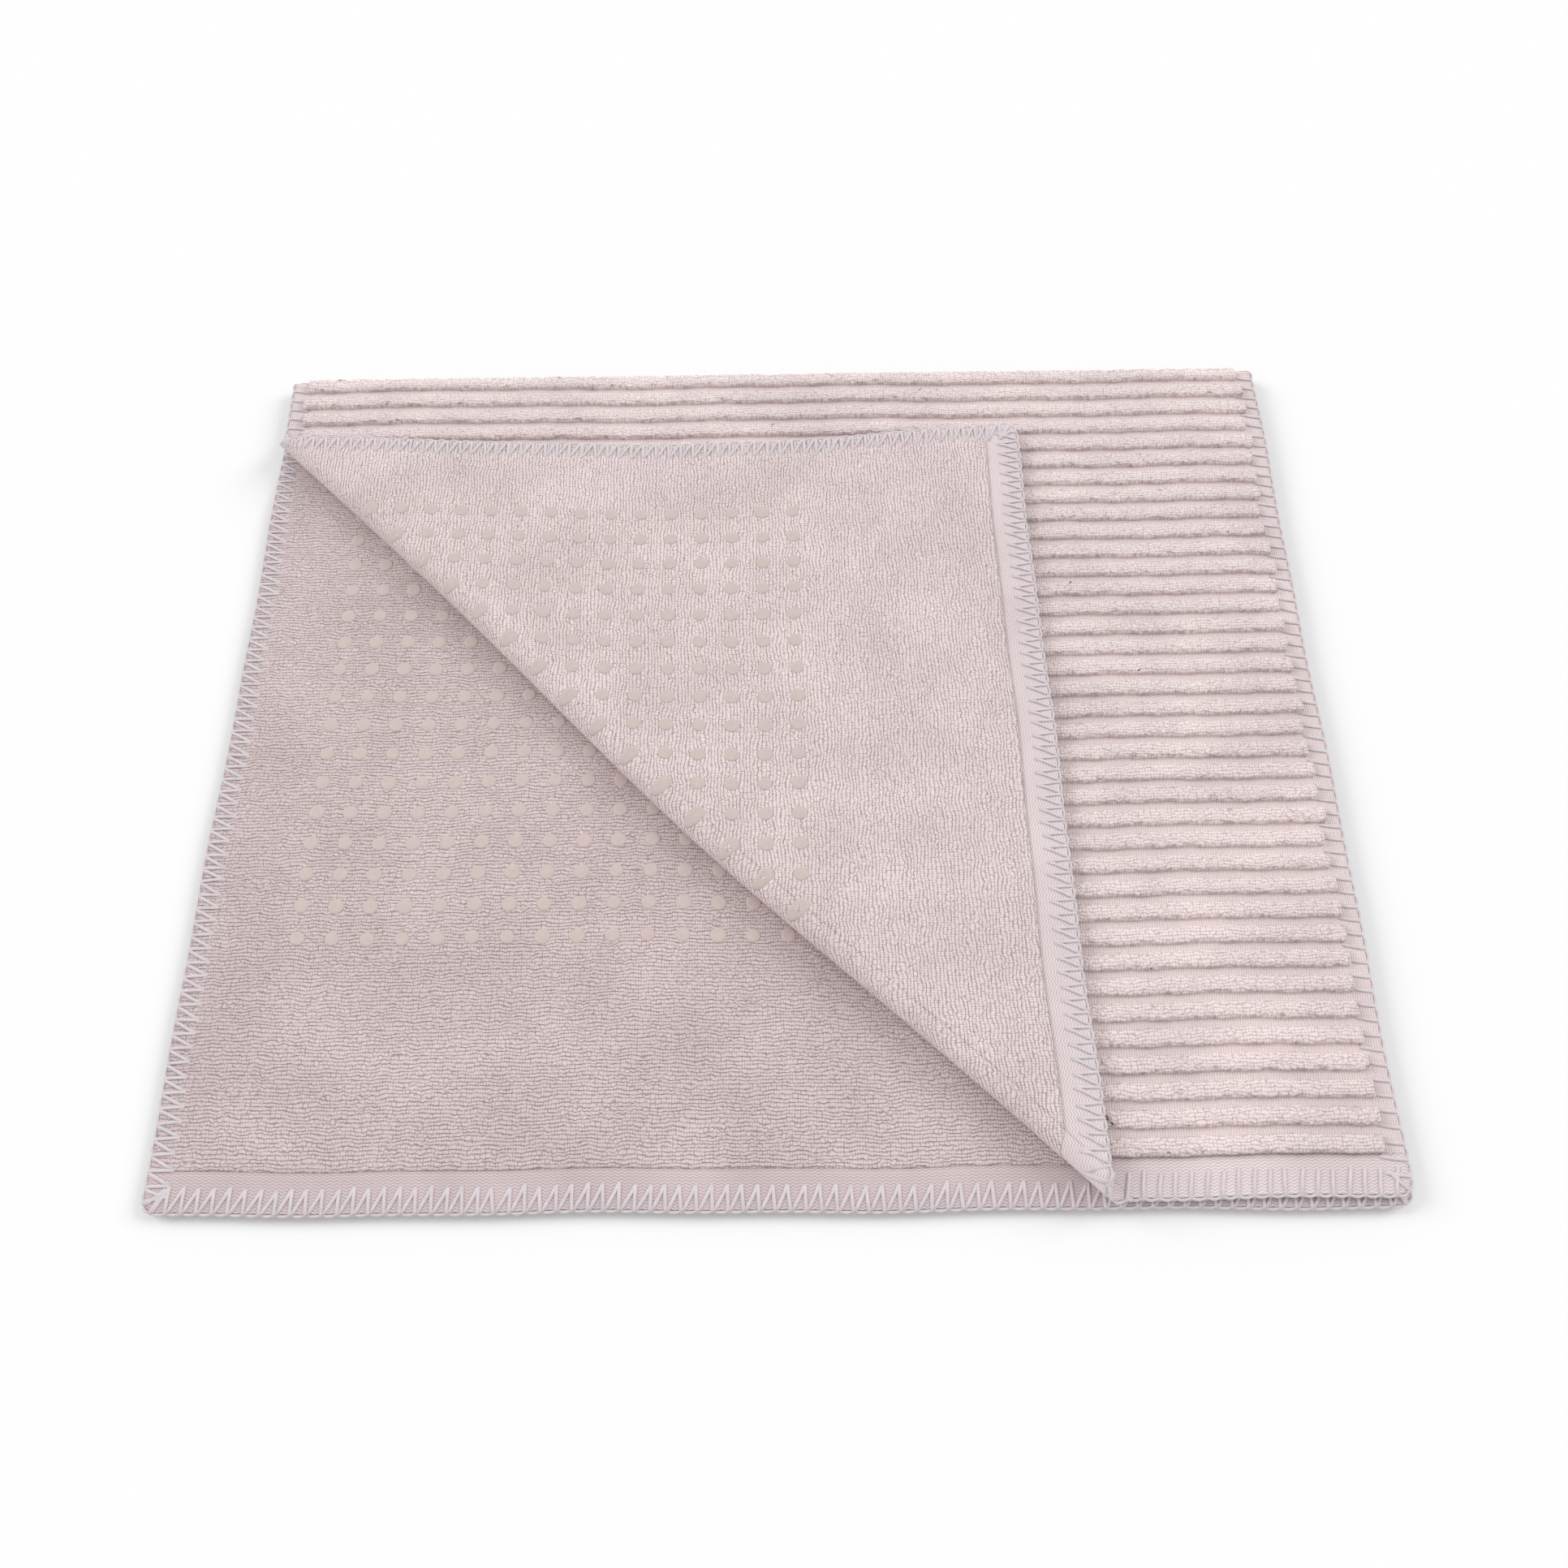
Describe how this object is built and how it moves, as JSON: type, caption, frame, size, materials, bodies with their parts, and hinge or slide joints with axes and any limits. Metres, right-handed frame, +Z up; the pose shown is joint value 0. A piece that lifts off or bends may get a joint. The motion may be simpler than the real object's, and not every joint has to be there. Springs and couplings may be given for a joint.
{
  "type": "bath mat",
  "caption": "Anti-slip terry bath mat with pile ribs, folded in half, one corner of the upper half turned back to show the dotted underside.",
  "frame": {"origin": "centre of the folded mat's footprint, at the level of the lower half's rib tips, which rest on the floor", "axes": "+X along the ribs to the right of the turned corner, +Y from the open front edge towards the folded back edge, +Z up"},
  "size_m": [0.6, 0.505, 0.0186],
  "materials": {
    "terry": "pale dusty pink cotton terry, short uncut loops in rows",
    "pile": "pale dusty pink cotton, raised rows of lumpy uncut loops",
    "hem": "pale dusty pink flat twill weave",
    "yarn": "pale lavender white twisted edging yarn",
    "dots": "smooth beige pink silicone, satin"
  },
  "bodies": {
    "lower_half": {"lower_ground": "terry", "lower_ribs": "pile", "lower_hem_band": "hem", "lower_dots": "dots", "lower_front_stitches": "yarn", "lower_left_stitches": "yarn", "lower_right_stitches": "yarn", "back_fold": "terry", "back_fold_rib": "pile"},
    "upper_half": {"upper_ground": "terry", "upper_ribs": "pile", "upper_hem_band": "hem", "upper_dots": "dots", "upper_front_stitches": "yarn", "upper_left_stitches": "yarn", "upper_right_stitches": "yarn", "corner_fold": "terry"},
    "turned_corner": {"corner_ground": "terry", "corner_ribs": "pile", "corner_hem_band": "hem", "corner_dots": "dots", "corner_side_stitches": "yarn", "corner_end_stitches": "yarn"}
  },
  "joints": [
    {"name": "half_fold", "type": "hinge", "parent": "lower_half", "child": "upper_half", "pos_m": [0, 0.24946, 0.00615], "axis": [-1, 0, 0], "range_deg": [0, 179.9], "deforming": ["back_fold", "back_fold_rib"]},
    {"name": "corner_turn", "type": "hinge", "parent": "upper_half", "child": "turned_corner", "pos_m": [-0.3, 0.19946, 0.01245], "axis": [0.7149, -0.6993, 0], "range_deg": [0, 179.9], "deforming": ["corner_fold"]}
  ]
}
